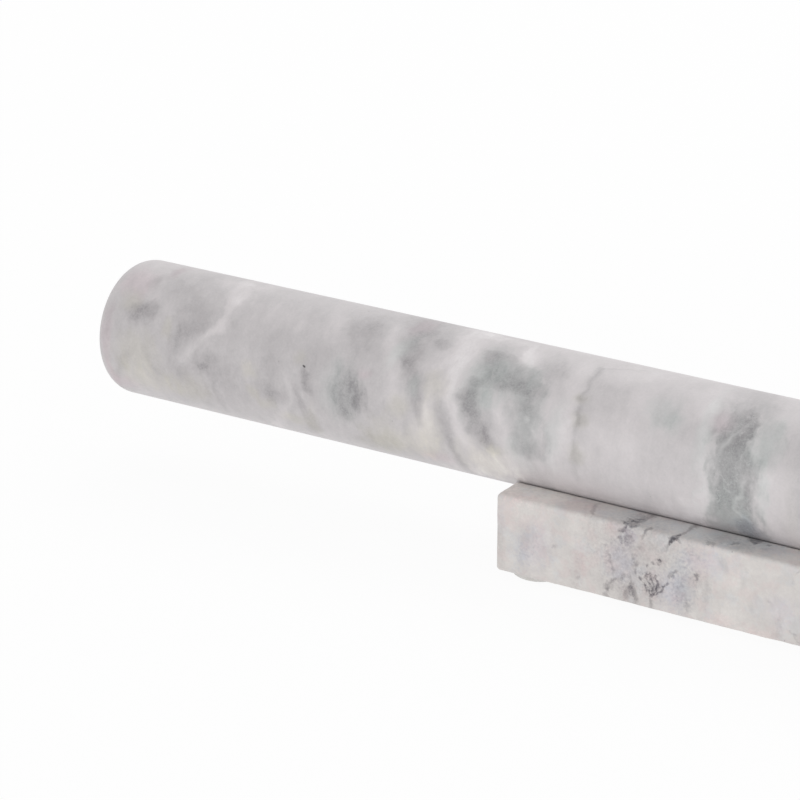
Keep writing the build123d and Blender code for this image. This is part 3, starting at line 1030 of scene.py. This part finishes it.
def make_pin_marble():
    """Light grey marble, folded: grey clouds and bands across the rod, white rims and one olive vein."""
    material, tree, shader, place = blank_material("pin_marble")
    place = calc_vector(tree, "SUBTRACT", place, tuple(pin_middle / mm))
    drifted = place_group(tree, stone_drift, place, 3.0, 4.2, 1.6)["Place"]
    grain = place_group(tree, stone_grain, place)
    x, y, z = add_node(tree, "ShaderNodeSeparateXYZ", drifted).outputs
    angle = calc(tree, "ARCTAN2", z, calc(tree, "MULTIPLY", y, -1.0))
    radius_mm = pin_radius / mm
    arc = calc(tree, "MULTIPLY", angle, radius_mm)
    run = calc(tree, "MULTIPLY_ADD", angle, 0.5 / math.pi, 0.5)
    long = calc_vector(tree, "MULTIPLY", drifted, (1.0, 0.5, 0.5))
    fray = spread(tree, noise(tree, long, 3.4, 4, 0.55).outputs["Fac"], 1.0)

    def arc_of(degrees):
        return math.radians(degrees) * radius_mm

    placed = add_strokes(tree, 0.0, x, lambda degrees: degrees / 360 + 0.5, run, fray, pin_strokes,
                         -pin_length / 2 / mm, pin_length / 2 / mm)
    placed = add_patches(tree, placed, x, arc, fray, arc_of, pin_patches)
    ragged = rise(tree, noise(tree, long, 4.0, 5, 0.6).outputs["Fac"], 0.3, 0.7, 0.82, 1.18)
    placed = calc(tree, "MULTIPLY", placed, ragged)

    # Clouds and bands where none are placed: the right half, the back, the underside and the end faces
    fold = noise(tree, long, 19, 3, 0.5, 0.9).outputs["Fac"]
    grey = rise(tree, fold, 0.49, 0.74)
    white = rise(tree, fold, 0.5, 0.34)
    own_length = calc(tree, "MULTIPLY", rise(tree, x, 18, 34, 1, 0), rise(tree, x, -229.5, -225.5))
    own = calc(tree, "MULTIPLY", own_length,
               calc(tree, "MULTIPLY", rise(tree, angle, 2.0, 2.4, 1, 0), rise(tree, angle, -1.7, -1.2)))
    elsewhere = calc(tree, "SUBTRACT", 1.0, own)
    bands = total(tree, calc(tree, "MULTIPLY", grey, -38.0), calc(tree, "MULTIPLY", white, 12.0))

    level = rise(tree, x, -105, -50, 190, 201.5)
    longer = calc_vector(tree, "MULTIPLY", drifted, (1.0, 0.4, 0.4))
    streak = noise(tree, longer, 3.8, 4, 0.55).outputs["Fac"]
    # Painted highlight: the top of the barrel is made lighter from about 75 degrees round. It is up to 8
    # steps lighter, fully from 100 to 120 degrees, and fades out by 166.
    painted_top_highlight = calc(tree, "MULTIPLY", rise(tree, angle, 1.3, 1.75), rise(tree, angle, 2.9, 2.1, 0, 8))
    base = total(tree, placed, level, painted_top_highlight)
    texture = total(tree, spread(tree, grain["Cloud"], 5), spread(tree, grain["Mottle"], 7),
                    spread(tree, grain["Crystal"], 8), spread(tree, streak, 9))
    tone = calc(tree, "MULTIPLY_ADD", texture, rise(tree, base, 204, 176, 0.85, 1.4), base)
    tone = calc(tree, "MULTIPLY_ADD", bands, elsewhere, tone)

    # A crackle in the darkest grey, where the stone has cracked and healed. It fades to the left.
    bent = place_group(tree, stone_drift, place, 0.0, 1.0, 2.6)["Place"]
    crack = rise(tree, cells(tree, bent, 2.1, "DISTANCE_TO_EDGE"), 0.0, 0.09, 1, 0)
    dark = rise(tree, tone, 180, 160)
    speckle = rise(tree, noise(tree, place, 2.4, 2).outputs["Fac"], 0.4, 0.6)
    healed = calc(tree, "MULTIPLY", calc(tree, "MULTIPLY", crack, dark), speckle)
    tone = calc(tree, "MULTIPLY_ADD", healed, rise(tree, x, -60, -20, 6, 17), tone)
    coarse = calc(tree, "MULTIPLY", spread(tree, noise(tree, place, 0.6, 3, 0.7).outputs["Fac"], 22), dark)
    tone = calc(tree, "ADD", tone, coarse)
    tone = calc(tree, "MULTIPLY_ADD", grain["Pinhole"], -16, tone)

    colour = stone_colour(tree, tone, pin_chart)
    greenish = calc(tree, "MULTIPLY", grey, elsewhere)
    colour = tint(tree, colour, greenish, green)
    aside = calc_vector(tree, "ADD", long, (70, 0, 0))
    creamy = rise(tree, noise(tree, aside, 22, 2).outputs["Fac"], 0.5, 0.66)
    colour = tint(tree, colour, calc(tree, "MULTIPLY", creamy, elsewhere), cream)
    colour = add_tinges(tree, colour, tone, x, arc, fray, arc_of, pin_tinges)
    finish_stone(tree, shader, colour, grain, 0.04 * mm)
    return material


pin.data.materials.append(make_pin_marble())
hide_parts("rolling_pin")
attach(pin, "rolling_pin")


# Table. A plain white top that runs out of sight. It glows a little from below, as a light table does, and
# that glow lights the pin and stand as a lamp would. It keeps the object's soft shadow.

bpy.ops.object.select_all(action="DESELECT")
bpy.ops.mesh.primitive_plane_add(size=6)
table = begin("table")
bpy.ops.mesh.subdivide(number_cuts=4)
bpy.ops.object.mode_set(mode="OBJECT")
# The glow's share in the light the table casts on the pin and stand, and its share where the camera sees the
# table.
glow_share = 0.5
glow_share_in_view = 0.93


def in_view(tree):
    """1 where the camera sees it, straight, in a reflection or through a clear piece."""
    rays = tree.nodes.new("ShaderNodeLightPath").outputs
    reflected = calc(tree, "MAXIMUM", rays["Is Glossy Ray"], rays["Is Transmission Ray"])
    return calc(tree, "MAXIMUM", rays["Is Camera Ray"], reflected)


table_white = bpy.data.materials.new("table_white")
table_white.use_nodes = True
table_tree = table_white.node_tree
table_top = table_tree.nodes["Principled BSDF"]
table_top.inputs["Base Color"].default_value = (0.95, 0.95, 0.95, 1)
table_top.inputs["Roughness"].default_value = 0.9
table_top.inputs["Specular IOR Level"].default_value = 0.0
table_glow = add_node(table_tree, "ShaderNodeEmission", (1, 1, 1, 1), 1.0)
table_share = calc(table_tree, "MULTIPLY_ADD", in_view(table_tree),
                   glow_share_in_view - glow_share, glow_share)
table_mixed = add_node(table_tree, "ShaderNodeMixShader", table_share, table_top.outputs[0],
                       table_glow.outputs[0])
table_tree.links.new(table_mixed.outputs[0], table_tree.nodes["Material Output"].inputs["Surface"])
table.data.materials.append(table_white)


# Light. A white tent all round, a wide low lamp in front, and a wide lamp above and behind that the pin
# keeps off the stand's front ledge. Nothing has a hard edge.

tent_level = 0.7
world = bpy.data.worlds.new("white_tent")
bpy.context.scene.world = world
world.use_nodes = True
tent = world.node_tree.nodes["Background"]
tent.inputs["Color"].default_value = (1, 1, 1, 1)
tent_tree = world.node_tree
tent_strength = calc(tent_tree, "MULTIPLY_ADD", in_view(tent_tree), 1 - tent_level, tent_level)
tent_tree.links.new(tent_strength, tent.inputs["Strength"])

lamp_width = 1.8
for name, place, height, power in (("front_lamp", (-0.2, -1.6, 0.42), 0.5, 5.25),
                                   ("rear_lamp", (-0.2, 0.95, 1.35), 0.8, 6.9)):
    lamp_data = bpy.data.lights.new(name, "AREA")
    lamp_data.shape = "RECTANGLE"
    lamp_data.size = lamp_width
    lamp_data.size_y = height
    lamp_data.energy = power
    lamp = bpy.data.objects.new(name, lamp_data)
    bpy.context.scene.collection.objects.link(lamp)
    lamp.location = place
    lamp.rotation_mode = "QUATERNION"
    lamp.rotation_quaternion = (-lamp.location).to_track_quat("-Z", "Y")


# Camera. A long lens, to the right of the front and looking down a little, as in the photograph.
# It aims at the left half, so the right end of the pin is out of the picture.

view_azimuth = math.radians(31.9)
view_elevation = math.radians(21.9)
view_distance = 1.139
view_aim = Vector((-123.7, 0, 37.82)) * mm
view_back = Vector((math.sin(view_azimuth) * math.cos(view_elevation),
                    -math.cos(view_azimuth) * math.cos(view_elevation),
                    math.sin(view_elevation)))
camera_data = bpy.data.cameras.new("camera")
camera_data.lens = 161.9
camera_data.sensor_width = 36
camera_data.clip_start = 0.05
camera_data.clip_end = 50
camera = bpy.data.objects.new("camera", camera_data)
bpy.context.scene.collection.objects.link(camera)
camera.location = view_aim + view_back * view_distance
camera.rotation_mode = "QUATERNION"
camera.rotation_quaternion = (-view_back).to_track_quat("-Z", "Y")
bpy.context.scene.camera = camera
bpy.context.scene.view_settings.view_transform = "Standard"
